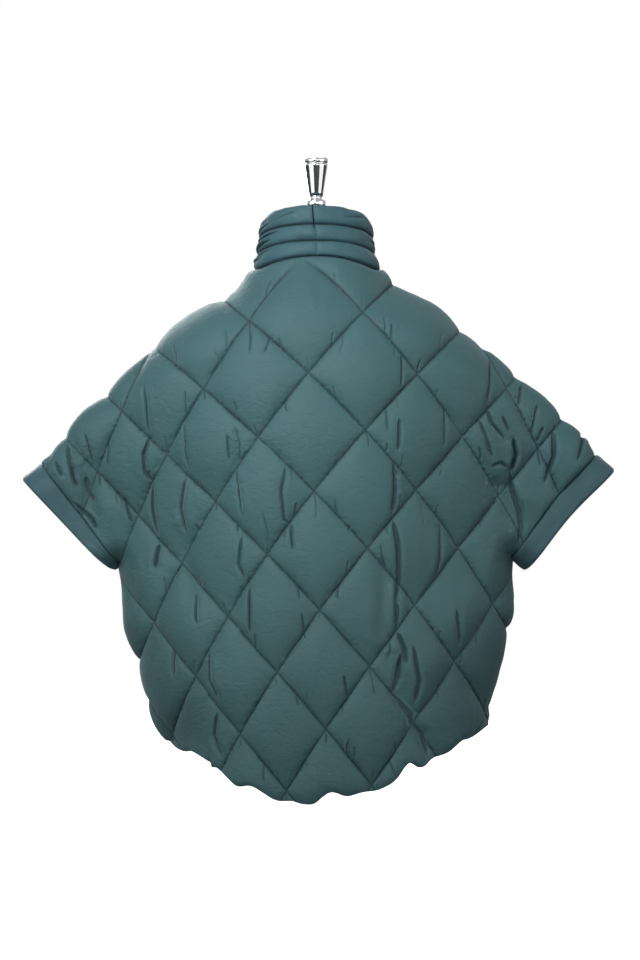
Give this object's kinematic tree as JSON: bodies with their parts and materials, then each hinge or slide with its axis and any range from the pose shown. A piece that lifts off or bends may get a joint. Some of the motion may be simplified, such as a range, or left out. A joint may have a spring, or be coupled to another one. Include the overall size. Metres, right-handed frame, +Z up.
{
  "type": "quilted cape on a counter dress form",
  "caption": "Quilted batwing cape with a padded stand collar and plain cuff bands, zipped up the front, worn by a limbless counter dress form with a finial.",
  "frame": {"origin": "centre of the underside of the form's base, on the surface that it stands on", "axes": "+Z up, the garment faces -Y, the wearer's left is +X"},
  "size_m": [0.884, 0.4015, 0.979],
  "materials": {
    "shell": "soft satin teal nylon, diamond quilted",
    "trim": "smooth teal nylon",
    "zip": "woven zip tape with moulded teeth",
    "metal": "polished",
    "white": "white powder coat",
    "linen": "plain linen cover"
  },
  "bodies": {
    "cape_on_form": {"back": "shell", "front_left": "shell", "front_right": "shell", "collar_left": "trim", "collar_right": "trim", "cuff_left": "trim", "cuff_right": "trim", "zip": "zip", "zip_slider": "metal", "form_torso": "linen", "form_cap": "metal", "form_finial": "metal", "form_pole": "white", "form_base": "white"},
    "pull_tab": {"zip_pull": "metal"}
  },
  "joints": [
    {"name": "pull_swing", "type": "hinge", "parent": "cape_on_form", "child": "pull_tab", "pos_m": [0, -0.08186, 0.835], "axis": [-1, 0, 0], "range_deg": [0, 150]}
  ]
}
